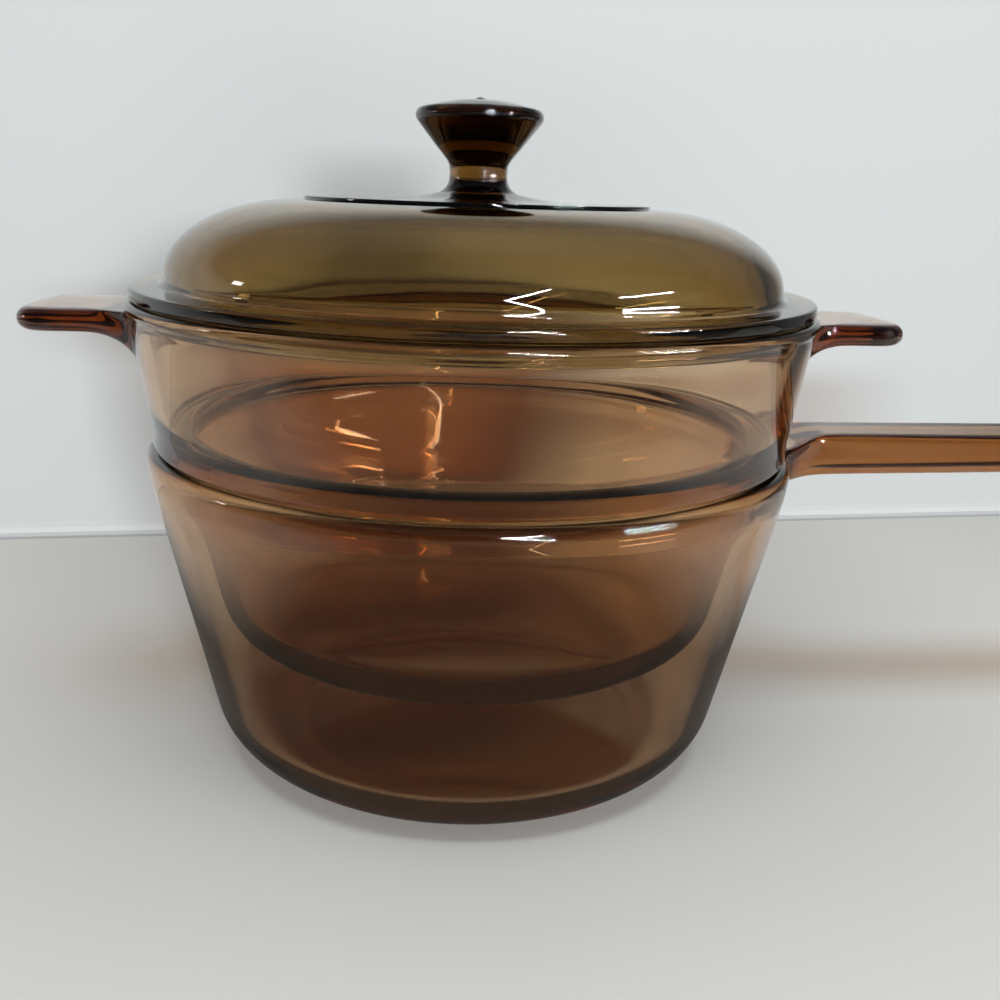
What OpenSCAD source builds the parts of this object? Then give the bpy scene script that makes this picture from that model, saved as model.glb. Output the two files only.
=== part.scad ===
/* [Saucepan] */
// Outside diameter of the saucepan at its rim
pan_rim_d = 179; // [176:0.5:182]
// Height of the saucepan from the table to the crest of its rim
pan_h = 88.5; // [84:0.5:96]
// Taper of the saucepan's wall from upright, in degrees
pan_taper = 12.5; // [11:0.5:14]
// Outside radius of the corner between wall and base
pan_corner_r = 18; // [14:1:22]
// Thickness of the saucepan's wall
pan_wall = 4.5; // [3.5:0.1:5]
// Thickness of the saucepan's base
pan_floor = 5; // [4:0.5:7]

/* [Long handle] */
// Reach of the long handle beyond the saucepan's rim
grip_len = 140; // [110:5:160]
// Width of the long handle close to the pan
grip_w_root = 20.8; // [18:0.2:24]
// Width of the long handle at its far end
grip_w_tip = 23.6; // [20:0.2:28]
// Depth of the long handle close to the pan
grip_t_root = 12.6; // [10:0.2:14]
// Depth of the long handle at its far end
grip_t_tip = 10; // [8:0.2:12]
// Height of the handle's flat top above the rim's crest
grip_rise = 2.7; // [1:0.1:4]

/* [Upper pan] */
// Outside diameter of the upper pan's rim bead
upper_rim_d = 185.8; // [184:0.2:188]
// Height of the upper pan above the saucepan's rim
upper_h = 38.2; // [34:0.2:44]
// Outside radius of the upper pan's wall just above its ledge
upper_foot_r = 87.8; // [87:0.1:88.5]
// Wall thickness of the upper pan
upper_wall = 4; // [3.5:0.1:4.5]
// Thickness of the ledge that rests on the saucepan
ledge_t = 5.4; // [4.5:0.1:6]
// Depth of the bowl that hangs below the ledge
bowl_depth = 54.8; // [45:0.2:60]
// Outside radius of the bowl where it leaves the ledge
bowl_r = 81.6; // [81:0.1:82]
// Outside radius of the corner between bowl wall and bowl floor
bowl_corner_r = 18; // [14:1:20]

/* [Tab handles] */
// Distance from the pan's axis to the tip of a tab handle
tab_r = 120.2; // [112:0.2:122]
// Width of a tab handle
tab_w = 40; // [34:1:46]
// Thickness of a tab handle
tab_t = 6; // [4.5:0.1:6.5]
// Drop of the tab's flat top below the rim's top
tab_drop = 3; // [2.6:0.1:3.1]
// Radius of the web that carries the tab down into the wall
tab_web_r = 10.5; // [8:0.5:12]

/* [Lid] */
// Outside diameter of the lid's flange
lid_d = 183.4; // [182:0.2:185]
// Thickness of the lid's flange
flange_t = 3.2; // [2.6:0.1:4]
// Outside radius of the dome where it rises from the flange
dome_r = 83; // [81:0.5:84]
// Radius of the flat raised disc on top of the dome
disc_r = 46.5; // [40:0.5:50]
// Height of the dome's shoulder above the flange's top
dome_h = 22; // [18:0.5:26]
// Thickness of the lid's glass
lid_wall = 4; // [3.5:0.1:4.5]
// Depth of the skirt that centres the lid in the upper pan
skirt_depth = 5; // [4:0.5:6]

/* [Knob] */
// Greatest radius of the knob
knob_r = 17.1; // [15:0.1:19]
// Radius of the knob's neck
neck_r = 7.8; // [7:0.1:9]
// Height of the knob's top above the lid's flat disc
knob_h = 25.7; // [24:0.1:30]

/* [Hidden] */
$fn = 72;
arc_steps = 8;
// Gap left between glass pieces that rest on each other
rest_gap = 0.3;

// Colours of the glass as the photograph shows it
amber = [0.55, 0.33, 0.22, 0.6];
olive = [0.36, 0.30, 0.17, 0.65];

// Points along an arc about [cx, cy] from angle a0 to angle a1
function arc(cx, cy, r, a0, a1, n = arc_steps) =
    [for (i = [0:n]) let (a = a0 + (a1 - a0) * i / n) [cx + r * cos(a), cy + r * sin(a)]];

// Points along a quarter of an ellipse about [cx, cy] from angle a0 to angle a1
function oval(cx, cy, rx, ry, a0, a1, n = arc_steps) =
    [for (i = [0:n]) let (a = a0 + (a1 - a0) * i / n) [cx + rx * cos(a), cy + ry * sin(a)]];

// Saucepan, worked out from its rim downwards
pan_rim_r = pan_rim_d / 2;
pan_slope = tan(pan_taper);
// Half the thickness of the rounded rim
lip_r = 2.9;
lip_x = pan_rim_r - lip_r;
lip_z = pan_h - lip_r;
// The rim stands upright for this far before the wall starts to taper
lip_band = 5;
pan_top_z = lip_z - lip_band;
pan_top_r = pan_rim_r - 0.4;
pan_in_corner_r = pan_corner_r - pan_floor + 1;
function pan_wall_r(z) = pan_top_r - (pan_top_z - z) * pan_slope;
// Where the outer corner meets the wall, and the centre of that corner
pan_corner_z = pan_corner_r * (1 - sin(pan_taper));
pan_corner_x = pan_wall_r(pan_corner_z) - pan_corner_r * cos(pan_taper);
pan_in_z = pan_floor + pan_in_corner_r * (1 - sin(pan_taper));
pan_in_x = pan_wall_r(pan_in_z) - pan_wall - pan_in_corner_r * cos(pan_taper);

// Upper pan, from the ledge that rests on the saucepan's rim
ledge_z = pan_h + rest_gap;
upper_top_z = pan_h + upper_h + rest_gap;
upper_rim_r = upper_rim_d / 2;
// Height and overhang of the bead round the upper pan's rim
bead_h = 3.4;
bead_out = 0.9;
bead_r = 1.4;
foot_round = 1.8;
bead_z = upper_top_z - bead_h;
upper_slope = (upper_rim_r - bead_out - upper_foot_r) / (bead_z - ledge_z - ledge_t);
function upper_wall_r(z) = upper_foot_r + (z - ledge_z - ledge_t) * upper_slope;
ledge_top_z = ledge_z + ledge_t;
ledge_fillet = 2.2;
bowl_floor_z = ledge_z - bowl_depth;
bowl_wall = 4.5;
bowl_floor = 5;
bowl_slope = pan_slope;
bowl_fillet = 1.5;
bowl_edge_r = 3;
function bowl_wall_r(z) = bowl_r - (ledge_z - z) * bowl_slope;
bowl_corner_z = bowl_floor_z + bowl_corner_r * (1 - sin(pan_taper));
bowl_corner_x = bowl_wall_r(bowl_corner_z) - bowl_corner_r * cos(pan_taper);
bowl_in_corner_r = bowl_corner_r - 4;
bowl_in_z = bowl_floor_z + bowl_floor + bowl_in_corner_r * (1 - sin(pan_taper));
bowl_in_x = bowl_wall_r(bowl_in_z) - bowl_wall - bowl_in_corner_r * cos(pan_taper);
// Edge where the ledge's top rolls over into the bowl
bowl_lip_x = bowl_wall_r(ledge_z) - bowl_wall + bowl_edge_r;

// Tab handles
tab_top_z = upper_top_z - tab_drop;
tab_low_z = tab_top_z - tab_t;
// The web's arc starts a little inside the wall, so that the two meet cleanly
tab_web_x = upper_wall_r(tab_low_z - tab_web_r) + tab_web_r - 0.5;
tab_corner_r = 9;
// How far the handles are sunk into the walls that carry them
sunk = 1.5;

// Lid, from the flange that rests on the upper pan's rim
flange_z = upper_top_z + rest_gap;
flange_top_z = flange_z + flange_t;
flange_round = 0.8;
skirt_r = upper_wall_r(bead_z) - upper_wall - 2.2;
skirt_t = 3.4;
dome_top_z = flange_top_z + dome_h;
dome_foot_r = 2;
disc_step = 0.8;
disc_z = dome_top_z + disc_step;

// Knob, from the flat disc upwards
knob_top_z = disc_z + knob_h;
// The neck flares into the disc with a small round and a long shallow one
flare_r = 4.4;
flare_rise = 1.7;
flare_run = 12;
neck_z = disc_z + flare_rise + flare_r;
knob_edge_r = 2.2;
knob_edge_z = knob_top_z - 4.3;
knob_cone_angle = 39.5;
knob_throat_r = 4.5;
nub_r = 1.6;

// The saucepan's body as a half section, from the middle of its base round to its floor
module pan_body() {
    rotate_extrude()
        polygon(concat(
            [[0, 0]],
            arc(pan_corner_x, pan_corner_r, pan_corner_r, -90, -pan_taper),
            [[pan_top_r, pan_top_z]],
            arc(lip_x, lip_z, lip_r, 0, 180, 14),
            [[pan_wall_r(pan_top_z) - pan_wall, pan_top_z]],
            arc(pan_in_x, pan_floor + pan_in_corner_r, pan_in_corner_r, -pan_taper, -90),
            [[0, pan_floor]]));
}

// The handle as seen from above, flaring where it meets the pan
module grip_plan() {
    root_x = lip_x;
    flare = 8;
    flare_x = pan_rim_r + flare;
    end_r = grip_w_tip / 2;
    end_x = pan_rim_r + grip_len - end_r;
    half_root = grip_w_root / 2;
    upper_side = concat(
        [[root_x, half_root + flare]],
        arc(flare_x, half_root + flare, flare, 200, 270, 6),
        [[end_x, end_r]]);
    lower_side = [for (i = [len(upper_side) - 1:-1:0]) [upper_side[i].x, -upper_side[i].y]];
    polygon(concat(upper_side, lower_side));
    translate([end_x, 0])
        circle(end_r);
}

// The handle as seen from the side, with its top above the rim and its root deep in the wall
module grip_side() {
    top_z = pan_h + grip_rise;
    low_root = top_z - grip_t_root;
    low_tip = top_z - grip_t_tip;
    root_x = lip_x;
    rise_x = pan_rim_r + 10;
    tip_x = pan_rim_r + grip_len;
    web = 5;
    end_round = 2.5;
    polygon(concat(
        [[root_x, lip_z - web - grip_t_root + 2], [pan_rim_r, low_root - web]],
        arc(pan_rim_r + web, low_root - web, web, 180, 90, 6),
        arc(tip_x - end_round, low_tip + end_round, end_round, -90, 0, 5),
        arc(tip_x - end_round, top_z - end_round, end_round, 0, 90, 5),
        [[rise_x, top_z], [pan_rim_r + 4, pan_h + 1.2], [lip_x + 1, pan_h - 0.4], [root_x, lip_z]]));
}

module long_handle() {
    intersection() {
        linear_extrude(2 * pan_h)
            grip_plan();
        translate([0, pan_rim_r / 2, 0])
            rotate([90, 0, 0])
                linear_extrude(pan_rim_r)
                    grip_side();
    }
}

module saucepan() {
    color(amber)
        union() {
            pan_body();
            long_handle();
        }
}

// The upper pan's body as a half section: bowl, ledge and upper wall in one piece of glass
module upper_body() {
    bowl_top_r = bowl_wall_r(ledge_z - bowl_fillet);
    rotate_extrude()
        polygon(concat(
            [[0, bowl_floor_z]],
            arc(bowl_corner_x, bowl_floor_z + bowl_corner_r, bowl_corner_r, -90, -pan_taper),
            arc(bowl_top_r + bowl_fillet, ledge_z - bowl_fillet, bowl_fillet, 180, 90, 4),
            arc(upper_foot_r - foot_round, ledge_z + foot_round, foot_round, -90, 0, 5),
            [[upper_foot_r, ledge_top_z], [upper_wall_r(bead_z), bead_z]],
            arc(upper_rim_r - bead_r, bead_z + bead_r, bead_r, -60, 0, 4),
            arc(upper_rim_r - bead_r, upper_top_z - bead_r, bead_r, 0, 90, 5),
            arc(upper_wall_r(bead_z) - upper_wall + 1, upper_top_z - 1, 1, 90, 180, 4),
            arc(upper_foot_r - upper_wall - ledge_fillet, ledge_top_z + ledge_fillet,
                ledge_fillet, 0, -90, 5),
            arc(bowl_lip_x, ledge_top_z - bowl_edge_r, bowl_edge_r, 90, 180, 6),
            arc(bowl_in_x, bowl_floor_z + bowl_floor + bowl_in_corner_r,
                bowl_in_corner_r, -pan_taper, -90),
            [[0, bowl_floor_z + bowl_floor]]));
}

// A tab handle: a ring round the pan with its web, cut to the tab's outline
module tab_handle() {
    tip_round = tab_t / 2;
    intersection() {
        rotate_extrude()
            polygon(concat(
                [[upper_wall_r(tab_low_z - tab_web_r) - sunk, tab_low_z - tab_web_r]],
                arc(tab_web_x, tab_low_z - tab_web_r, tab_web_r, 180, 90, 8),
                arc(tab_r - tip_round, tab_low_z + tip_round, tip_round, -90, 90, 8),
                [[upper_wall_r(tab_top_z) - sunk, tab_top_z]]));
        linear_extrude(upper_top_z)
            tab_plan();
    }
}

module tab_plan() {
    corner_x = tab_r - tab_corner_r;
    corner_y = tab_w / 2 - tab_corner_r;
    union() {
        translate([0, -tab_w / 2])
            square([corner_x, tab_w]);
        translate([0, -corner_y])
            square([tab_r, 2 * corner_y]);
        for (side = [-1, 1])
            translate([corner_x, side * corner_y])
                circle(tab_corner_r);
    }
}

module upper_pan() {
    color(amber)
        union() {
            upper_body();
            for (turn = [0, 180])
                rotate([0, 0, turn])
                    tab_handle();
        }
}

// The lid's glass as a half section, with the skirt, flange, dome and flat disc
module lid_shell() {
    inner_r = dome_r - lid_wall;
    inner_top = dome_top_z + disc_step - lid_wall;
    rotate_extrude()
        polygon(concat(
            [[0, inner_top], [disc_r, inner_top]],
            oval(disc_r, flange_top_z, inner_r - disc_r, inner_top - flange_top_z, 90, 0, 14),
            [[skirt_r - skirt_t, flange_z],
             [skirt_r - skirt_t + 0.6, flange_z - skirt_depth],
             [skirt_r - 0.6, flange_z - skirt_depth],
             [skirt_r, flange_z],
             [lid_d / 2 - flange_round, flange_z]],
            arc(lid_d / 2 - flange_round, flange_z + flange_round, flange_round, -90, 0, 3),
            arc(lid_d / 2 - flange_round, flange_top_z - flange_round, flange_round, 0, 90, 3),
            arc(dome_r + dome_foot_r, flange_top_z + dome_foot_r, dome_foot_r, -90, -180, 5),
            oval(disc_r, flange_top_z + dome_foot_r, dome_r - disc_r, dome_h - dome_foot_r, 0, 90, 18),
            [[disc_r, disc_z], [0, disc_z]]));
}

// The knob as a half section: shallow flare, neck, cone, rounded edge and domed top with its nub
module knob() {
    cone_dx = sin(knob_cone_angle);
    cone_dz = cos(knob_cone_angle);
    edge_x = knob_r - knob_edge_r;
    edge_start = [edge_x + knob_edge_r * cone_dz, knob_edge_z - knob_edge_r * cone_dx];
    throat_end_x = neck_r + knob_throat_r * (1 - cone_dz);
    throat_z = edge_start.y - (edge_start.x - throat_end_x) * cone_dz / cone_dx - knob_throat_r * cone_dx;
    rim_z = knob_edge_z + knob_edge_r * cos(12);
    rim_x = edge_x + knob_edge_r * sin(12);
    rotate_extrude()
        polygon(concat(
            [[0, disc_z - 1], [neck_r + flare_r + flare_run, disc_z - 1],
             [neck_r + flare_r + flare_run, disc_z],
             [neck_r + flare_r + flare_run / 2, disc_z + flare_rise * 0.25],
             [neck_r + flare_r + flare_run / 5, disc_z + flare_rise * 0.65]],
            arc(neck_r + flare_r, neck_z, flare_r, -90, -180, 8),
            arc(neck_r + knob_throat_r, throat_z, knob_throat_r, 180, 180 - knob_cone_angle, 5),
            arc(edge_x, knob_edge_z, knob_edge_r, -knob_cone_angle, 78, 8),
            [[rim_x * 0.6, rim_z + (knob_top_z - rim_z) * 0.72], [nub_r, knob_top_z]],
            [[nub_r * 0.6, knob_top_z + 0.5], [0, knob_top_z + 0.6]]));
}

module lid() {
    color(olive)
        union() {
            lid_shell();
            knob();
        }
}

saucepan();
upper_pan();
lid();
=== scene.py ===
# %% [markdown]
# # A glass double boiler
# The set is three mouldings of pressed glass: a saucepan with a long handle, an upper pan whose bowl
# hangs inside it, and a lid with a knob. Each moulding is one piece of glass right through, so each
# becomes one closed mesh here. Glass shows its inner and outer faces at once, and a gap or a hidden
# wall would show as well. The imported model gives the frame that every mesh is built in.

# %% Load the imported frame
import math

import bmesh
import bpy
from mathutils import Matrix, Quaternion, Vector
from mathutils.kdtree import KDTree


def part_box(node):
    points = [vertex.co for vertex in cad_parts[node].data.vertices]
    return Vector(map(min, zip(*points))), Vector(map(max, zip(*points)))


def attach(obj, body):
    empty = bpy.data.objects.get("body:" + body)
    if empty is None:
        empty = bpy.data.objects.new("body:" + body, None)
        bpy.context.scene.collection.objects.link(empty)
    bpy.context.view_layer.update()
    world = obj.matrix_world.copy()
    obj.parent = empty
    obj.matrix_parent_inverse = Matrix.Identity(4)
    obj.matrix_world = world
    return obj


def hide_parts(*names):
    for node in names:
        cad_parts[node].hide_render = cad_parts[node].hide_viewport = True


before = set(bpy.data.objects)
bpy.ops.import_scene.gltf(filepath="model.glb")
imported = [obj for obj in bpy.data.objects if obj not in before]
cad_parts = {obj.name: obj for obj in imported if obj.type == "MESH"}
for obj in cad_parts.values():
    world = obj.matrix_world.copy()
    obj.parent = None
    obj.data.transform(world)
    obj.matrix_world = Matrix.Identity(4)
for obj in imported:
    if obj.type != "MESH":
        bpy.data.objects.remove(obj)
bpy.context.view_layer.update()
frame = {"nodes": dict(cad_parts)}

MM = 0.001
print("nodes:", ", ".join(frame["nodes"]))

# %% [markdown]
# ## The camera
# The photograph was taken from close by, a little above the lid and slightly turned. Its place was
# worked out from circles of the object whose shape changes with the viewpoint, such as the rims.
# A camera could be aimed with a Track To constraint, but writing its three axes keeps the
# small roll of a hand-held shot.

# %% Set up the camera
CAMERA_PLACE = (-0.0233, -0.2958, 0.1568)
TURN, TILT, ROLL = 6.19, 16.55, 1.91
FOCAL_LENGTH, SENSOR = 37.8, 36
camera_data = bpy.data.cameras.new("camera")
camera_data.lens = FOCAL_LENGTH
camera_data.sensor_width = SENSOR
camera_data.clip_start = 0.01
camera = bpy.data.objects.new("camera", camera_data)
bpy.context.collection.objects.link(camera)
bpy.context.scene.camera = camera

turn, tilt, roll = (math.radians(a) for a in (TURN, TILT, ROLL))
ahead = Vector((math.sin(turn) * math.cos(tilt), math.cos(turn) * math.cos(tilt), -math.sin(tilt)))
level_right = Vector((math.cos(turn), -math.sin(turn), 0))
level_up = level_right.cross(ahead)
right = level_right * math.cos(roll) + level_up * math.sin(roll)
up = level_up * math.cos(roll) - level_right * math.sin(roll)
axes = Matrix((right, up, -ahead)).transposed().to_4x4()
camera.matrix_world = Matrix.Translation(CAMERA_PLACE) @ axes
print("camera is", round(camera.location.length / MM), "mm from the middle of the base")

# %% [markdown]
# ## Colours and nodes
# Colours are easiest to judge as the hex values of a screen, while shaders work in linear light, so
# one function turns the first into the second. A second one adds a node, sets its options and fills
# or links its inputs. Both the geometry trees and the materials are written with it.

# %% Colour and node helpers
BLACK = (0.0, 0.0, 0.0, 1.0)


def linear(hex_code):
    """A screen colour such as #DEB141 as the linear colour that a shader takes."""
    parts = [int(hex_code[i:i + 2], 16) / 255 for i in (1, 3, 5)]
    return (*[p / 12.92 if p <= 0.04045 else ((p + 0.055) / 1.055) ** 2.4 for p in parts], 1.0)


def add(tree, kind, inputs=None, **options):
    """Adds a node. A socket given as an input is linked, and any other value is set."""
    node = tree.nodes.new(kind)
    for option, value in options.items():
        setattr(node, option, value)
    for name, value in (inputs or {}).items():
        if isinstance(value, bpy.types.NodeSocket):
            tree.links.new(value, node.inputs[name])
        else:
            node.inputs[name].default_value = value
    return node


print("a mid grey of the screen is", round(linear("#808080")[0], 3), "in linear light")

# %% [markdown]
# ## Turning a half section
# All three bodies are round, so each is a half section turned about the upright axis. The Screw
# modifier or a spin in mesh code would do it. A Geometry Nodes tree is used because it keeps every
# point of the section, takes the number of steps as a named input, and welds the seam and the poles
# shut in the same go. The section arrives as a chain of points with X as the radius and Z as the
# height. The tree lays out a grid of section points by steps and bends that grid round the axis.

# %% Build the turning tree
turning = bpy.data.node_groups.new("turned_glass", "GeometryNodeTree")
for socket_name, socket_type in (
    ("Section", "NodeSocketGeometry"),
    ("Steps", "NodeSocketInt"),
    ("Weld distance", "NodeSocketFloat"),
    ("Finish", "NodeSocketMaterial"),
):
    turning.interface.new_socket(socket_name, in_out="INPUT", socket_type=socket_type)
turning.interface.new_socket("Glass", in_out="OUTPUT", socket_type="NodeSocketGeometry")

given = add(turning, "NodeGroupInput").outputs
section_size = add(
    turning, "GeometryNodeAttributeDomainSize", {"Geometry": given["Section"]}, component="MESH"
)
across = add(turning, "ShaderNodeMath", {0: given["Steps"], 1: 1.0}, operation="ADD").outputs[0]
sheet = add(
    turning,
    "GeometryNodeMeshGrid",
    {"Vertices X": section_size.outputs["Point Count"], "Vertices Y": across},
)
index = add(turning, "GeometryNodeInputIndex").outputs[0]
share = add(turning, "ShaderNodeMath", {0: index, 1: across}, operation="DIVIDE").outputs[0]
section_index = add(turning, "ShaderNodeMath", {0: share}, operation="FLOOR").outputs[0]
step_index = add(turning, "ShaderNodeMath", {0: index, 1: across}, operation="MODULO").outputs[0]
place = add(turning, "GeometryNodeInputPosition").outputs[0]
section_point = add(
    turning,
    "GeometryNodeSampleIndex",
    {"Geometry": given["Section"], "Value": place, "Index": section_index},
    data_type="FLOAT_VECTOR",
)
radius_height = add(turning, "ShaderNodeSeparateXYZ", {0: section_point.outputs["Value"]}).outputs
step_share = add(
    turning, "ShaderNodeMath", {0: step_index, 1: given["Steps"]}, operation="DIVIDE"
).outputs[0]
angle = add(
    turning, "ShaderNodeMath", {0: step_share, 1: 2 * math.pi}, operation="MULTIPLY"
).outputs[0]
cosine = add(turning, "ShaderNodeMath", {0: angle}, operation="COSINE").outputs[0]
sine = add(turning, "ShaderNodeMath", {0: angle}, operation="SINE").outputs[0]
east = add(turning, "ShaderNodeMath", {0: radius_height["X"], 1: cosine}, operation="MULTIPLY")
north = add(turning, "ShaderNodeMath", {0: radius_height["X"], 1: sine}, operation="MULTIPLY")
bent_place = add(
    turning,
    "ShaderNodeCombineXYZ",
    {"X": east.outputs[0], "Y": north.outputs[0], "Z": radius_height["Z"]},
)
bent = add(
    turning,
    "GeometryNodeSetPosition",
    {"Geometry": sheet.outputs["Mesh"], "Position": bent_place.outputs[0]},
)
welded = add(
    turning,
    "GeometryNodeMergeByDistance",
    {"Geometry": bent.outputs[0], "Distance": given["Weld distance"]},
)
smoothed = add(turning, "GeometryNodeSetShadeSmooth", {"Geometry": welded.outputs[0]})
real = add(turning, "GeometryNodeRealizeInstances", {"Geometry": smoothed.outputs[0]})
finished = add(
    turning, "GeometryNodeSetMaterial", {"Geometry": real.outputs[0], "Material": given["Finish"]}
)
add(turning, "NodeGroupOutput", {"Glass": finished.outputs[0]})
print("turning tree has", len(turning.nodes), "nodes")

# %% [markdown]
# A modifier's inputs are set by the sockets' identifiers before the object is first evaluated. The
# evaluated result is then copied out as a plain mesh, so no modifier is left on the piece.

# %% Turn a section into a body
TURN_STEPS = 120


def plain_copy(source, name):
    """The evaluated object as a new object with a plain mesh. The source is removed."""
    graph = bpy.context.evaluated_depsgraph_get()
    mesh = bpy.data.meshes.new_from_object(source.evaluated_get(graph), depsgraph=graph)
    mesh.name = name
    bpy.data.objects.remove(source)
    piece = bpy.data.objects.new(name, mesh)
    bpy.context.collection.objects.link(piece)
    return piece


def turned(name, section, glass):
    """Turns a half section, given as (radius, height) pairs in millimetres, about the Z axis."""
    chain = bpy.data.meshes.new(name + "_section")
    links = [(i, i + 1) for i in range(len(section) - 1)]
    chain.from_pydata([(r * MM, 0, z * MM) for r, z in section], links, [])
    blank = bpy.data.objects.new(name + "_blank", chain)
    bpy.context.collection.objects.link(blank)
    modifier = blank.modifiers.new("Turn", "NODES")
    modifier.node_group = turning
    values = {"Steps": TURN_STEPS, "Weld distance": 1e-6, "Finish": glass}
    for item in turning.interface.items_tree:
        if item.name in values:
            modifier[item.identifier] = values[item.name]
    body = plain_copy(blank, name)
    while len(body.data.materials) > 1:  # the blank's empty slot comes before the glass
        body.data.materials.pop(index=0)
    return body


def arc(cx, cz, radius, start, end, steps):
    """Points of an arc in millimetres, from one angle in degrees to another."""
    angles = [math.radians(start + (end - start) * i / steps) for i in range(steps + 1)]
    return [(cx + radius * math.cos(a), cz + radius * math.sin(a)) for a in angles]


def between(p, q, steps):
    """Points that split the straight line from p to q, without its ends."""
    return [
        (p[0] + (q[0] - p[0]) * i / steps, p[1] + (q[1] - p[1]) * i / steps)
        for i in range(1, steps)
    ]


print("one step round a body is", round(2 * math.pi * 90 / TURN_STEPS, 1), "mm at the rim")

# %% [markdown]
# ## The glass
# The pans are a clear reddish-brown glass-ceramic and the lid is an olive-brown soda-lime glass.
# Both were pressed in an iron mould and fire polished, which gives the eye a sharp gloss, a slow
# waviness of some hundredths of a millimetre that bends reflections, and no grain at all. The colour
# sits in the depth of the glass, so it isn't painted on: a Volume Absorption inside a closed mesh
# makes thin walls pale and the ledge, the base and the knob nearly black, as on the real set.
# Years of use add faint wiping marks, which show in the roughness alone.
# For rays that look for a lamp the glass turns transparent and keeps its absorption. That lets
# tinted light reach what stands behind it, without the noise of true caustics. A face that the ray
# meets edge-on passes less of it, as real glass does, and draws the darker rims of the shadow.

# %% Make the glass materials
WAVES_PER_METRE, WAVE_HEIGHT = 62.0, 0.00003
WIPED_PER_METRE = (60.0, 60.0, 420.0)


def pressed_glass(name, depth_hex, density, refraction, lamp_tint):
    """Clear pressed glass that is coloured by its depth. lamp_tint is what a face passes of a
    lamp's light that meets it squarely."""
    material = bpy.data.materials.new(name)
    material.use_nodes = True
    tree = material.node_tree
    tree.nodes.clear()
    where = add(tree, "ShaderNodeTexCoord").outputs["Object"]

    # Slow waves left by the mould, about 16 mm from crest to crest
    waves = add(
        tree,
        "ShaderNodeTexNoise",
        {"Vector": where, "Scale": WAVES_PER_METRE, "Detail": 1.0, "Roughness": 0.4},
    ).outputs["Fac"]
    # Wiping marks: noise stretched along the way a cloth goes round, a few millimetres wide
    stretched = add(tree, "ShaderNodeMapping", {"Vector": where, "Scale": WIPED_PER_METRE})
    wiped = add(
        tree,
        "ShaderNodeTexNoise",
        {"Vector": stretched.outputs[0], "Scale": 1.0, "Detail": 5.0, "Roughness": 0.62},
    ).outputs["Fac"]
    gloss = add(
        tree,
        "ShaderNodeMapRange",
        {"Value": wiped, "From Min": 0.42, "From Max": 0.78, "To Min": 0.01, "To Max": 0.055},
    ).outputs["Result"]
    bump = add(
        tree, "ShaderNodeBump", {"Height": waves, "Strength": 1.0, "Distance": WAVE_HEIGHT}
    ).outputs[0]

    glass = add(
        tree,
        "ShaderNodeBsdfPrincipled",
        {
            "Base Color": linear("#FFFFFF"),
            "Roughness": gloss,
            "IOR": refraction,
            "Transmission Weight": 1.0,
            "Normal": bump,
        },
    )
    # The share of a lamp's light that a face mirrors grows with the fifth power of its slant
    edge_on = add(tree, "ShaderNodeLayerWeight", {"Blend": 0.5}).outputs["Facing"]
    mirrored = add(tree, "ShaderNodeMath", {0: edge_on, 1: 5.0}, operation="POWER").outputs[0]
    passed = add(
        tree, "ShaderNodeMix", {0: mirrored, 6: linear(lamp_tint), 7: BLACK}, data_type="RGBA"
    )
    let_through = add(tree, "ShaderNodeBsdfTransparent", {"Color": passed.outputs[2]})
    path = add(tree, "ShaderNodeLightPath")
    surface = add(
        tree,
        "ShaderNodeMixShader",
        {0: path.outputs["Is Shadow Ray"], 1: glass.outputs[0], 2: let_through.outputs[0]},
    )
    depth = add(
        tree, "ShaderNodeVolumeAbsorption", {"Color": linear(depth_hex), "Density": density}
    )
    add(tree, "ShaderNodeOutputMaterial", {"Surface": surface.outputs[0], "Volume": depth.outputs[0]})
    return material


amber_glass = pressed_glass("amber_pressed_glass_ceramic", "#DEB141", 150.0, 1.54, "#FFFDFA")
lid_glass = pressed_glass("olive_pressed_soda_lime_glass", "#CFB652", 325.0, 1.52, "#EDE6D8")
print("glass:", amber_glass.name, "and", lid_glass.name)

# %% [markdown]
# ## Growing a handle out of a wall
# On the real set a handle runs into its pan without a seam. A separate bar pushed through the wall
# would show its hidden end through the glass, and a Boolean union leaves a hard crease. Instead a
# patch of the turned wall is opened and its edge is carried outwards, one ring of points at a time,
# so the handle and the pan share every point. A Subdivision Surface then rounds the result.

# %% Open the wall and carry its edge outwards
def ring_of(columns, rows):
    """The edge of a patch as (column, row) pairs, once round from its lowest first corner."""
    return (
        [(c, 0) for c in range(columns)]
        + [(columns, j) for j in range(rows)]
        + [(c, rows) for c in range(columns, 0, -1)]
        + [(0, j) for j in range(rows, 0, -1)]
    )


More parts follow.
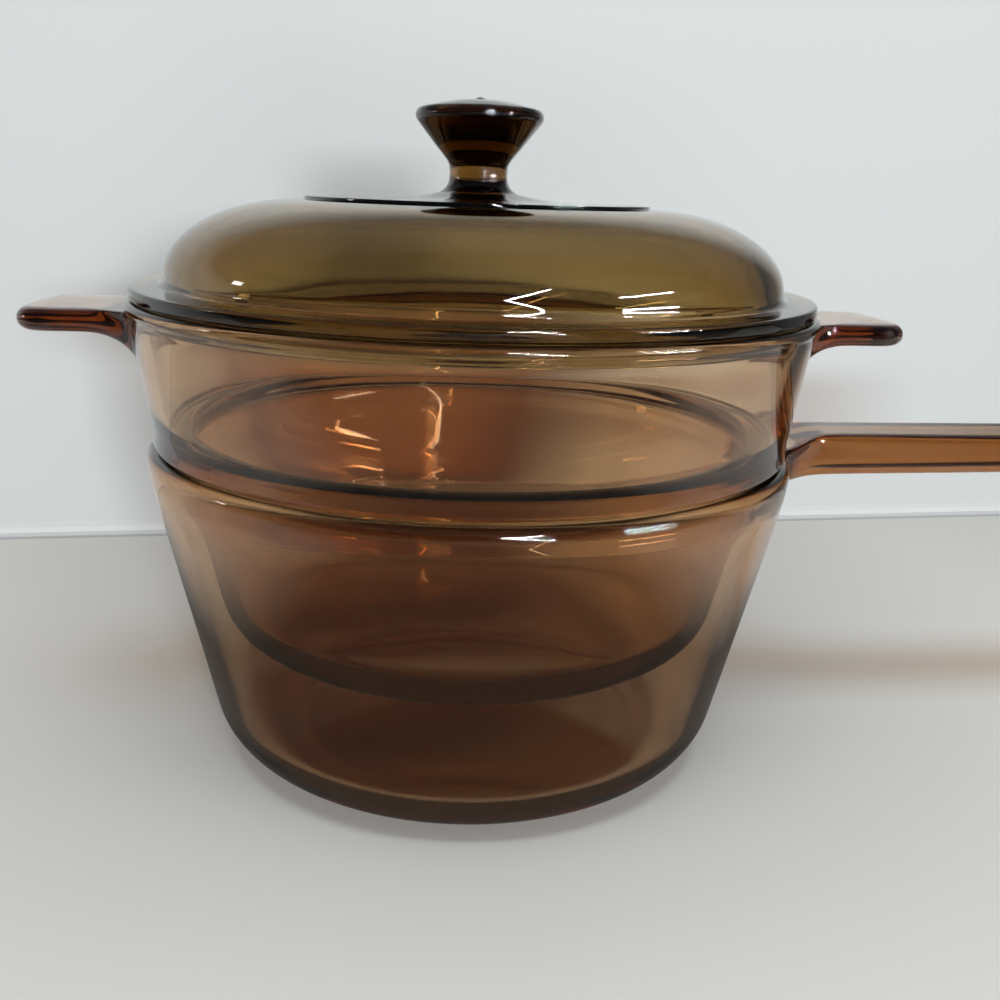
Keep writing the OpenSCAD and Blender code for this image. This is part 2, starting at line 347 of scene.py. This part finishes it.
def grow_handle(body, facing, columns, wall_rows, stations, point):
    """Grows a handle from the patch of a turned body that lies on wall_rows, towards the angle
    facing in degrees. point(column, row, station, start) gives each new point in millimetres,
    with +X outwards, where start is the place of its patch point."""
    rows = len(wall_rows) - 1
    step = 2 * math.pi / TURN_STEPS
    outwards = Matrix.Rotation(math.radians(facing), 3, "Z")
    mesh = bmesh.new()
    mesh.from_mesh(body.data)
    mesh.verts.ensure_lookup_table()
    tree = KDTree(len(mesh.verts))
    for vertex in mesh.verts:
        tree.insert(vertex.co, vertex.index)
    tree.balance()
    patch, starts = {}, {}
    for c in range(columns + 1):
        angle = (c - columns / 2) * step
        for j, (radius, height) in enumerate(wall_rows):
            start = Vector((radius * math.cos(angle), radius * math.sin(angle), height))
            found, index, miss = tree.find(outwards @ start * MM)
            assert miss < 1e-5, (body.name, c, j, miss)
            patch[c, j], starts[c, j] = mesh.verts[index], start
    inside = set(patch.values())
    opened = [f for f in mesh.faces if all(v in inside for v in f.verts)]
    assert len(opened) == columns * rows, len(opened)
    bmesh.ops.delete(mesh, geom=opened, context="FACES")

    ring = ring_of(columns, rows)
    before = {key: patch[key] for key in ring}
    for s in range(1, stations + 1):
        keys = ring if s < stations else [(c, j) for c in range(columns + 1) for j in range(rows + 1)]
        after = {
            key: mesh.verts.new(outwards @ Vector(point(*key, s, starts[key])) * MM) for key in keys
        }
        for here, there in zip(ring, ring[1:] + ring[:1]):
            mesh.faces.new((before[here], before[there], after[there], after[here]))
        before = after
    for c in range(columns):
        for j in range(rows):
            corners = ((c, j), (c + 1, j), (c + 1, j + 1), (c, j + 1))
            mesh.faces.new([before[key] for key in corners])
    bmesh.ops.recalc_face_normals(mesh, faces=mesh.faces)
    for face in mesh.faces:
        face.smooth = True
    mesh.to_mesh(body.data)
    mesh.free()


def curved_way(start, end, share, forward):
    """A point on a smooth way from the wall to a full section. It leaves the wall along its
    surface where forward is 0, and straight outwards where it is 1."""
    pull = 1.657  # a quarter circle drawn as one cubic
    sideways = Vector((0, end.y - start.y, end.z - start.z)) * pull
    outwards = Vector((end.x - start.x, 0, 0))
    leave = sideways * (1 - forward) + outwards * forward
    arrive = outwards * (pull - 0.657 * forward)
    t = share
    return (
        start * (2 * t**3 - 3 * t**2 + 1)
        + leave * (t**3 - 2 * t**2 + t)
        + end * (3 * t**2 - 2 * t**3)
        + arrive * (t**3 - t**2)
    )


def fire_polish(piece):
    """Rounds a piece with one level of Subdivision Surface and checks that it is closed."""
    name = piece.name
    piece.name = name + "_cage"
    rounding = piece.modifiers.new("Rounding", "SUBSURF")
    rounding.levels = rounding.render_levels = 1
    polished = plain_copy(piece, name)
    mesh = bmesh.new()
    mesh.from_mesh(polished.data)
    open_edges = sum(not e.is_manifold for e in mesh.edges)
    volume = mesh.calc_volume(signed=True)
    if volume < 0:
        bmesh.ops.reverse_faces(mesh, faces=mesh.faces)
        mesh.to_mesh(polished.data)
    mesh.free()
    faces = len(polished.data.polygons)
    print(name, faces, "faces,", open_edges, "open edges,", round(abs(volume) * 1e6, 1), "cm3")
    return polished


print("a handle is carried out ring by ring")

# %% [markdown]
# ## The saucepan
# The wall tapers towards the base, the rim stands upright for a few millimetres and ends in a round
# lip, and the corner at the base is generous so that glass flows into it in the mould. The base is
# ground flat only in a ring near its edge; the middle stands half a millimetre clear of the table.

# %% Draw the saucepan's half section
PAN_SLOPE = math.tan(math.radians(12.5))


def pan_wall(height):
    """Outside radius of the saucepan's wall."""
    return 89.1 - (80.6 - height) * PAN_SLOPE


handle_rows = (
    [(pan_wall(z), z) for z in (73.4, 75.8, 78.2, 80.6)]
    + [(89.4, 83.2)]
    + arc(86.6, 85.6, 2.9, 0, 67.5, 3)
)
saucepan_section = (
    [(0, 0.5), (12, 0.5), (26, 0.5), (38, 0.5), (46.5, 0.5), (49.5, 0.45), (51, 0.1), (52.5, 0)]
    + arc(56.8, 18, 18, -90, -12.5, 14)
    + [(pan_wall(z), z) for z in (20, 27, 34, 41, 48, 55, 61, 66, 70)]
    + handle_rows
    + arc(86.6, 85.6, 2.9, 90, 180, 5)
    + [(84.1, 83.0), (84.5, 80.6)]
    + [(pan_wall(z) - 4.5, z) for z in (77, 72, 66, 60, 54, 48, 42, 36, 30, 24, 19.5)]
    + arc(56.6, 19, 14, -12.5, -90, 11)
    + [(51, 5), (44, 5), (34, 5), (22, 5), (10, 5), (0, 5)]
)
saucepan = turned("saucepan_glass", saucepan_section, amber_glass)
print("saucepan section has", len(saucepan_section), "points")

# %% [markdown]
# The long handle is a solid bar with a flat top that stands a little above the rim, softly rounded
# edges and a round end. Where it leaves the pan it flares at both sides and below, and its top rises
# from the lip in one slow curve.

# %% Grow the long handle
RIM_R, HANDLE_LENGTH = 89.5, 140
HANDLE_TOP, HANDLE_END_X = 91.2, 217.7
HANDLE_START_R, HANDLE_END_R = 10.6, 11.8
HANDLE_LOW, HANDLE_LOW_RISE = 78.6, 2.6
EDGE_TOP, EDGE_LOW = 1.9, 2.6
HANDLE_COLUMNS = 8
blend_shares = (0.0, 0.16, 0.36, 0.58, 0.8)
bar_places = (103.5, 112.0, 126.0, 144.0, 162.0, 180.0, 198.0, HANDLE_END_X)


def handle_section(j, x):
    """How far a row of the bar's side is set in from its outline, and its height."""
    low = HANDLE_LOW + HANDLE_LOW_RISE * (x - RIM_R) / HANDLE_LENGTH
    if j <= 2:
        a = math.radians((90, 45, 0)[j])
        return EDGE_LOW * (1 - math.cos(a)), low + EDGE_LOW * (1 - math.sin(a))
    if j >= 6:
        a = math.radians((0, 45, 90)[j - 6])
        return EDGE_TOP * (1 - math.cos(a)), HANDLE_TOP - EDGE_TOP * (1 - math.sin(a))
    start, end = low + EDGE_LOW, HANDLE_TOP - EDGE_TOP
    return 0, start + (end - start) * (j - 2) / 4


def long_handle_point(c, j, s, start):
    """A point of the long handle, with +X outwards along it."""
    t = 2 * c / HANDLE_COLUMNS - 1
    if s < len(blend_shares):
        inset, z = handle_section(j, bar_places[0])
        end = Vector((bar_places[0], t * (HANDLE_START_R - inset), z))
        forward = max(0, min(1, (j - 4) / 3))
        return curved_way(start, end, blend_shares[s], forward)
    bar = s - len(blend_shares)
    if bar < len(bar_places):
        x = bar_places[bar]
        inset, z = handle_section(j, x)
        along = (x - bar_places[0]) / (HANDLE_END_X - bar_places[0])
        half = HANDLE_START_R + (HANDLE_END_R - HANDLE_START_R) * along
        return (x, t * (half - inset), z)
    inset, z = handle_section(j, HANDLE_END_X + 6)
    reach = HANDLE_END_R - inset
    if bar == len(bar_places):
        turn_in = math.radians(67.5)
        bulge = (0.62 - math.cos(turn_in)) * (1 - t * t)
        return (HANDLE_END_X + reach * (math.cos(turn_in) + bulge), t * reach * math.sin(turn_in), z)
    a = math.radians(45) * t
    return (HANDLE_END_X + reach * math.cos(a), reach * math.sin(a), z)


grow_handle(
    saucepan,
    0,
    HANDLE_COLUMNS,
    handle_rows,
    len(blend_shares) + len(bar_places) + 1,
    long_handle_point,
)
saucepan = fire_polish(saucepan)

# %% [markdown]
# ## The upper pan
# A thick ledge rests on the saucepan's lip, the bowl hangs below it and the upper wall rises above
# it to a bead round the mouth. It is one half section again, with the fillets that a mould needs.

# %% Draw the upper pan's half section
UPPER_SLOPE = (92.0 - 87.8) / (123.6 - 94.2)


def upper_wall(height):
    """Outside radius of the upper pan's wall above the ledge."""
    return 87.8 + (height - 94.2) * UPPER_SLOPE


def bowl_wall(height):
    """Outside radius of the hanging bowl."""
    return 81.6 - (88.8 - height) * PAN_SLOPE


tab_rows = [(upper_wall(z), z) for z in (107.4, 111.0, 114.6, 118.2, 121.2, 123.5)] + [(92.5, 124.0)]
upper_section = (
    [(0, 34), (12, 34), (26, 34), (38, 34), (47, 34)]
    + arc(55.0, 52.0, 18, -90, -12.5, 14)
    + [(bowl_wall(z), z) for z in (54, 60, 66, 72, 78, 83, 86)]
    + arc(bowl_wall(87.3) + 1.5, 87.3, 1.5, 180, 90, 4)
    + [(84.3, 88.8)]
    + arc(86.0, 90.6, 1.8, -90, 0, 6)
    + [(87.8, 92.4), (87.8, 94.2), (88.1, 96.6), (upper_wall(100.2), 100.2)]
    + [(upper_wall(104.0), 104.0)]
    + tab_rows
    + arc(91.5, 125.0, 1.4, -20, 0, 1)
    + arc(91.5, 125.6, 1.4, 0, 90, 5)
    + [(90.3, 127.0)]
    + arc(89.0, 126.0, 1.0, 90, 180, 4)
    + [(upper_wall(z) - 4, z) for z in (122, 118, 114, 110, 106, 102, 99)]
    + arc(83.8 - 2.2, 94.2 + 2.2, 2.2, 0, -90, 6)
    + arc(80.1, 91.2, 3, 90, 180, 7)
    + [(bowl_wall(z) - 4.5, z) for z in (87, 82, 76, 70, 64, 58, 53.5)]
    + arc(54.8, 53, 14, -12.5, -90, 11)
    + [(47, 39), (38, 39), (26, 39), (12, 39), (0, 39)]
)
upper_pan = turned("upper_pan_glass", upper_section, amber_glass)
print("upper pan section has", len(upper_section), "points")

# %% [markdown]
# Each tab handle is a flat slab under the bead. Its edge is fully rounded, its two corners are
# generous, and a web carries its underside down into the wall in a quarter circle.

# %% Grow the two tab handles
TAB_TOP, TAB_THICK, TAB_REACH, TAB_HALF = 124.0, 6.0, 120.2, 20.0
TAB_CORNER, TAB_CORNER_X, TAB_CORNER_Y = 8.8, 110.9, 11.2
TAB_COLUMNS = 10
tab_blend = (0.0, 0.2, 0.42, 0.66, 0.86)
tab_places = (101.0, 105.8, TAB_CORNER_X)


def tab_outline_end(c, inset):
    """A point of the tab's end: two round corners joined by an arc about the pan's axis."""
    half = TAB_COLUMNS // 2
    k = abs(c - half)
    side = -1 if c < half else 1
    if k <= 3:
        y = TAB_CORNER_Y * k / 3
        return math.sqrt((TAB_REACH - inset) ** 2 - y * y), side * y
    a = math.radians(22.5 * (k - 3))
    reach = TAB_CORNER - inset
    return TAB_CORNER_X + reach * math.cos(a), side * (TAB_CORNER_Y + reach * math.sin(a))


def tab_point(c, j, s, start):
    """A point of a tab handle, with +X outwards."""
    t = 2 * c / TAB_COLUMNS - 1
    lean = math.radians(-90 + 30 * j)
    inset = TAB_THICK / 2 * (1 - math.cos(lean))
    z = TAB_TOP - TAB_THICK / 2 * (1 - math.sin(lean))
    if s < len(tab_blend):
        end = Vector((tab_places[0], t * (TAB_HALF - inset), z))
        return curved_way(start, end, tab_blend[s], max(0, (j - 4) / 2))
    slab = s - len(tab_blend)
    if slab < len(tab_places):
        return (tab_places[slab], t * (TAB_HALF - inset), z)
    end_x, end_y = tab_outline_end(c, inset)
    if slab > len(tab_places):
        return (end_x, end_y, z)
    a = math.radians(67.5)
    reach = TAB_CORNER - inset
    side_x = TAB_CORNER_X + reach * math.cos(a)
    side_y = TAB_CORNER_Y + reach * math.sin(a)
    return (side_x + (end_x - side_x) * 0.5 * (1 - t * t), t * side_y * (1 - 0.03 * (1 - t * t)), z)


for facing in (0, 180):
    grow_handle(
        upper_pan, facing, TAB_COLUMNS, tab_rows, len(tab_blend) + len(tab_places) + 1, tab_point
    )
upper_pan = fire_polish(upper_pan)

# %% [markdown]
# ## The lid
# Skirt, flange, dome, flat disc and knob are one moulding too. The dome is a quarter of an ellipse
# that runs up to a raised flat disc with a small crisp step, and the knob is a cone on a neck that
# flares into the disc.

# %% Draw and turn the lid
def oval(cx, cz, width, height, start, end, steps):
    """Points of a quarter of an ellipse in millimetres."""
    angles = [math.radians(start + (end - start) * i / steps) for i in range(steps + 1)]
    return [(cx + width * math.cos(a), cz + height * math.sin(a)) for a in angles]


CONE_LEAN = math.radians(39.5)
KNOB_EDGE_R, KNOB_EDGE_Z, KNOB_EDGE_X = 2.2, 174.7, 14.9
cone_end = (
    KNOB_EDGE_X + KNOB_EDGE_R * math.cos(CONE_LEAN),
    KNOB_EDGE_Z - KNOB_EDGE_R * math.sin(CONE_LEAN),
)
throat_x = 7.8 + 4.5 * (1 - math.cos(CONE_LEAN))
throat_z = cone_end[1] - (cone_end[0] - throat_x) / math.tan(CONE_LEAN) - 4.5 * math.sin(CONE_LEAN)
cone_start = (throat_x, throat_z + 4.5 * math.sin(CONE_LEAN))
lid_section = (
    [(0, 149.3), (10, 149.3), (22, 149.3), (34, 149.3), (44, 149.3)]
    + oval(46.5, 130.5, 32.5, 18.8, 90, 4, 18)
    + [(79.0, 130.5), (80.6, 129.0), (82.4, 127.2), (82.7, 125.0), (83.0, 122.9)]
    + [(83.5, 122.35), (84.1, 122.3), (84.8, 122.4), (85.2, 122.9), (85.5, 125.0), (85.75, 126.9)]
    + [(86.2, 127.3), (88.4, 127.3)]
    + arc(90.9, 128.1, 0.8, -90, 0, 4)
    + arc(90.9, 129.7, 0.8, 0, 90, 4)
    + [(88.6, 130.5)]
    + arc(85.0, 132.5, 2.0, -90, -180, 5)
    + oval(46.5, 132.5, 36.5, 20.0, 4, 88, 20)
    + [(47.0, 152.5), (46.6, 152.6), (46.5, 152.8), (46.5, 153.1), (46.4, 153.25), (46.1, 153.3)]
    + [(40, 153.3), (32, 153.3), (26, 153.32), (22, 153.5), (18.2, 153.85), (15.0, 154.35)]
    + arc(12.2, 159.4, 4.4, -100, -180, 8)
    + arc(12.3, throat_z, 4.5, 180, 180 - 39.5, 5)
    + between(cone_start, cone_end, 4)
    + arc(KNOB_EDGE_X, KNOB_EDGE_Z, KNOB_EDGE_R, -39.5, 78, 8)
    + [(13.0, 177.4), (9.4, 178.25), (5.5, 178.75), (2.2, 178.95), (1.5, 179.15), (0.8, 179.5)]
    + [(0, 179.6)]
)
lid = fire_polish(turned("lid_glass", lid_section, lid_glass))

# %% [markdown]
# ## Joining the frame
# Each piece stands for one CAD node and rides on that node's body.

# %% Hand the pieces to the frame
for piece, body, slot in (
    (saucepan, "saucepan", "amber_glass_ceramic"),
    (upper_pan, "upper_pan", "amber_glass_ceramic"),
    (lid, "lid", "smoky_lid_glass"),
):
    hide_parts(body)
    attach(piece, body)
    low, high = ([round(v[i] / MM, 1) for i in range(3)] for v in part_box(body))
    print(body, "fills", low, high)

# %% [markdown]
# ## Floor and backdrop
# The set stands on a pale floor close to a pale wall, as in the photograph, because clear glass
# shows what stands behind it.
# Thick glass looks nearly black in a real room, because rays that are mirrored inside it end in dim
# corners. Dark furniture round the set would give that too, but it would show from other sides.
# Instead the paint is dim to mirrored rays outside a lit zone: fully to rays from inside the glass,
# and less so to those that only glance off its outside.

# %% Mix a paint for the stage
DIM_CORNER = "#3E3B38"
OUTER_DIMMING = 0.8


def dimmed_when_mirrored(tree, surface, where, lit_zone):
    """The surface, dim for mirrored rays outside lit_zone, a list of (axis, dark at, pale at)."""
    parts = add(tree, "ShaderNodeSeparateXYZ", {0: where}).outputs
    lit = 1.0
    for axis, dark_at, pale_at in lit_zone:
        at = parts[axis[0]]
        if axis.endswith("both sides"):
            at = add(tree, "ShaderNodeMath", {0: at}, operation="ABSOLUTE").outputs[0]
        edge = {"Value": at, "From Min": dark_at, "From Max": pale_at}
        share = add(tree, "ShaderNodeMapRange", edge).outputs["Result"]
        lit = add(tree, "ShaderNodeMath", {0: share, 1: lit}, operation="MULTIPLY").outputs[0]
    dark = add(tree, "ShaderNodeMath", {0: 1.0, 1: lit}, operation="SUBTRACT").outputs[0]
    path = add(tree, "ShaderNodeLightPath").outputs
    inside = add(
        tree, "ShaderNodeMapRange", {"Value": path["Transmission Depth"], "To Min": OUTER_DIMMING}
    ).outputs["Result"]
    mirrored = add(
        tree,
        "ShaderNodeMath",
        {0: path["Glossy Depth"], 1: inside},
        operation="MULTIPLY",
        use_clamp=True,
    ).outputs[0]
    turned_off = add(tree, "ShaderNodeMath", {0: mirrored, 1: dark}, operation="MULTIPLY")
    dim = add(tree, "ShaderNodeEmission", {"Color": linear(DIM_CORNER), "Strength": 1.0})
    return add(
        tree, "ShaderNodeMixShader", {0: turned_off.outputs[0], 1: surface, 2: dim.outputs[0]}
    ).outputs[0]


def matt_paint(name, colour, lit_zone, shaded_disc=None, one_sided=False):
    """Plain matt paint for the stage. shaded_disc gives the radii between which a disc about the
    middle fades out, and the share of the colour that is left in it."""
    material = bpy.data.materials.new(name)
    material.use_nodes = True
    tree = material.node_tree
    tree.nodes.clear()
    paint = add(tree, "ShaderNodeBsdfPrincipled", {"Base Color": linear(colour), "Roughness": 0.9})
    where = add(tree, "ShaderNodeTexCoord").outputs["Object"]
    if shaded_disc:
        inner, outer, left = shaded_disc
        distance = add(tree, "ShaderNodeVectorMath", {0: where}, operation="LENGTH").outputs["Value"]
        fade = {"Value": distance, "From Min": inner, "From Max": outer, "To Min": left}
        share = add(tree, "ShaderNodeMapRange", fade).outputs["Result"]
        shaded = add(
            tree, "ShaderNodeMix", {0: share, 6: BLACK, 7: linear(colour)}, data_type="RGBA"
        )
        tree.links.new(shaded.outputs[2], paint.inputs["Base Color"])
    surface = dimmed_when_mirrored(tree, paint.outputs[0], where, lit_zone)
    if one_sided:
        clear = add(tree, "ShaderNodeBsdfTransparent")
        back = add(tree, "ShaderNodeNewGeometry").outputs["Backfacing"]
        surface = add(
            tree, "ShaderNodeMixShader", {0: back, 1: surface, 2: clear.outputs[0]}
        ).outputs[0]
    add(tree, "ShaderNodeOutputMaterial", {"Surface": surface})
    return material


print("the dim corners are", round(linear(DIM_CORNER)[0], 3), "bright, where paper is about 0.8")

# %% [markdown]
# The floor is one large square, a hair below the base so that the two never share a plane.
# Light that enters the base from its side is held inside by total reflection, and shadow rays go
# straight, so they can't show that. The disc of floor under the base is darker in its place.

# %% Lay the floor
FLOOR_Z, HALF_FLOOR = -0.0004, 3.0
FLOOR_LIT = (("X both sides", 0.115, 0.17), ("Y", -0.22, -0.14))
UNDER_BASE = (0.046, 0.062, 0.35)


def stage_sheet(name, points, faces, material):
    """A mesh that isn't part of the object."""
    mesh = bpy.data.meshes.new(name)
    mesh.from_pydata(points, [], faces)
    mesh.materials.append(material)
    sheet = bpy.data.objects.new(name, mesh)
    bpy.context.collection.objects.link(sheet)
    return sheet


corners = [(x * HALF_FLOOR, y * HALF_FLOOR, FLOOR_Z) for x, y in ((-1, -1), (1, -1), (1, 1), (-1, 1))]
floor_paint = matt_paint("floor_paint", "#F6F6F1", FLOOR_LIT, shaded_disc=UNDER_BASE)
stage_sheet("floor", corners, [(0, 1, 2, 3)], floor_paint)
print("the floor lies", round(-FLOOR_Z / MM, 1), "mm below the base")

# %% [markdown]
# The wall is a tall sheet with a small cove at its foot, turned a little as in the photograph. Seen
# from behind it is transparent, so that it never hides the object.

# %% Put up the wall
WALL_Y, WALL_TURN, HALF_WALL = 0.1866, math.atan(0.0745), 1.6
WALL_GAP = 0.0002
COVE = [(-0.006, 0.0), (-0.0035, 0.0003), (-0.0012, 0.0014), (-0.0002, 0.0035), (0.0, 0.006), (0.0, 1.4)]
WALL_LIT = (("X", 0.32, 0.20), ("Z", 0.34, 0.24))
wall_points = []
for along in (-HALF_WALL, HALF_WALL):
    for out, height in COVE:
        x = along * math.cos(WALL_TURN) - out * math.sin(WALL_TURN)
        y = WALL_Y + along * math.sin(WALL_TURN) + out * math.cos(WALL_TURN)
        wall_points.append((x, y, FLOOR_Z + WALL_GAP + height))
count = len(COVE)
wall_faces = [(i, i + count, i + count + 1, i + 1) for i in range(count - 1)]
wall_paint = matt_paint("wall_paint", "#C0C4C4", WALL_LIT, one_sided=True)
stage_sheet("wall", wall_points, wall_faces, wall_paint)
print("the wall stands", round(WALL_Y / MM), "mm behind the pans' axis")

# %% [markdown]
# A fine net hangs between the ceiling lamp and the set. It takes most of that lamp's light away
# behind the glass, where white light would wash the amber out. Only shadow rays meet it. It thins
# out light from above and leaves the light that skims along it from the front.

# %% Hang the net
NET_Z = 0.32
NET_CORNERS = ((-0.09, -0.17), (0.09, -0.17), (0.09, 0.12), (-0.09, 0.12))
NET_LEAVES = 0.2
netting = bpy.data.materials.new("lamp_net")
netting.use_nodes = True
weave = netting.node_tree
weave.nodes.clear()
skim = add(weave, "ShaderNodeLayerWeight", {"Blend": 0.5}).outputs["Facing"]
left = add(
    weave,
    "ShaderNodeMapRange",
    {"Value": skim, "From Min": 0.4, "From Max": 0.65, "To Min": NET_LEAVES, "To Max": 1.0},
).outputs["Result"]
holes = add(weave, "ShaderNodeBsdfTransparent", {"Color": left})
add(weave, "ShaderNodeOutputMaterial", {"Surface": holes.outputs[0]})
net = stage_sheet("net", [(x, y, NET_Z) for x, y in NET_CORNERS], [(0, 1, 2, 3)], netting)
net.visible_camera = net.visible_diffuse = net.visible_glossy = net.visible_transmission = False
print("the net leaves", f"{NET_LEAVES:.0%}", "of the light from above")

# %% [markdown]
# ## Light
# Two soft lamps give plain studio light. One is overhead, and one is low in front, so that it
# shines through the glass and fills the shadow on the wall with amber. Neither shows in the gloss.
# Narrow tubes behind the camera are there for their reflections alone. Two that lean apart draw the
# hook on the dome, and two level ones draw the pair of thin lines beside it. A reflection's place
# on a round body tells where its lamp is, and the angles below were worked out so.

# %% Place the lamps
TARGET = Vector((0, 0, 0.09))


def lamp(name, bearing, height, distance, width, depth, power, lean=0):
    """An area lamp aimed at the set. Bearing is in degrees to the right of +Y, height is the
    angle above the table, and lean raises its right end."""
    data = bpy.data.lights.new(name, "AREA")
    data.shape = "RECTANGLE"
    data.size, data.size_y = width, depth
    data.energy = power
    a, e = math.radians(bearing), math.radians(height)
    way = Vector((math.sin(a) * math.cos(e), math.cos(a) * math.cos(e), math.sin(e)))
    holder = bpy.data.objects.new(name, data)
    holder.location = TARGET + way * distance
    leaning = Quaternion((0, 0, 1), math.radians(lean))
    holder.rotation_euler = (way.to_track_quat("Z", "Y") @ leaning).to_euler()
    bpy.context.collection.objects.link(holder)
    return holder


for soft in (
    lamp("ceiling_soft", 180, 72, 1.5, 0.8, 0.5, 12.0),
    lamp("front_soft", 170, 8.0, 2.4, 0.68, 0.38, 69.0),
):
    soft.visible_glossy = soft.visible_transmission = False
for thin in (
    lamp("hook_upper_tube", 166, 31.5, 1.3, 0.60, 0.016, 12.0, lean=52),
    lamp("hook_lower_tube", 166, 10.5, 1.3, 0.60, 0.016, 12.0, lean=-52),
    lamp("side_upper_tube", 122, 26, 1.2, 0.46, 0.016, 7.0, lean=8),
    lamp("side_lower_tube", 124, 6, 1.2, 0.46, 0.016, 7.0),
    lamp("side_glow", -86, 14, 1.2, 0.16, 0.10, 0.7),
):
    thin.visible_diffuse = False

# %% [markdown]
# The room around the stage is dim and a little brighter overhead. The camera meets a pale backdrop
# there instead, and so do rays that come straight through the glass without being mirrored.

# %% Light the room
ROOM_LOW, ROOM_HIGH, BACKDROP = 0.03, 0.09, 0.92
world = bpy.data.worlds.new("room")
bpy.context.scene.world = world
world.use_nodes = True
room = world.node_tree
room.nodes.clear()
way = add(room, "ShaderNodeTexCoord").outputs["Generated"]
parts = add(room, "ShaderNodeSeparateXYZ", {0: way}).outputs
upper = add(
    room,
    "ShaderNodeMapRange",
    {"Value": parts["Z"], "From Min": -0.1, "From Max": 0.9, "To Min": ROOM_LOW, "To Max": ROOM_HIGH},
).outputs["Result"]
room_light = add(room, "ShaderNodeBackground", {"Color": linear("#F4F8FF"), "Strength": upper})
backdrop = add(room, "ShaderNodeBackground", {"Color": linear("#E4E6E6"), "Strength": BACKDROP})
path = add(room, "ShaderNodeLightPath").outputs
straight = add(
    room,
    "ShaderNodeMath",
    {0: path["Is Transmission Ray"], 1: path["Glossy Depth"]},
    operation="SUBTRACT",
    use_clamp=True,
).outputs[0]
seen = add(
    room, "ShaderNodeMath", {0: path["Is Camera Ray"], 1: straight}, operation="ADD", use_clamp=True
).outputs[0]
mixed = add(room, "ShaderNodeMixShader", {0: seen, 1: room_light.outputs[0], 2: backdrop.outputs[0]})
add(room, "ShaderNodeOutputWorld", {"Surface": mixed.outputs[0]})
print("the room is", ROOM_LOW, "to", ROOM_HIGH, "bright")

# %% [markdown]
# A sight line through lid, walls, bowl and base meets many faces, and each one counts as a bounce,
# so the limits are high. Diffuse bounces are off: the floor would fill the shadow behind the glass
# with white light, which the net keeps out.

# %% Set the view and the bounces
scene = bpy.context.scene
scene.view_settings.view_transform = "Standard"
scene.cycles.max_bounces = 24
scene.cycles.transmission_bounces = 24
scene.cycles.glossy_bounces = 6
scene.cycles.diffuse_bounces = 0
scene.cycles.transparent_max_bounces = 48
scene.cycles.caustics_reflective = False
scene.cycles.caustics_refractive = False
print("light passes up to", scene.cycles.transmission_bounces, "faces of glass")
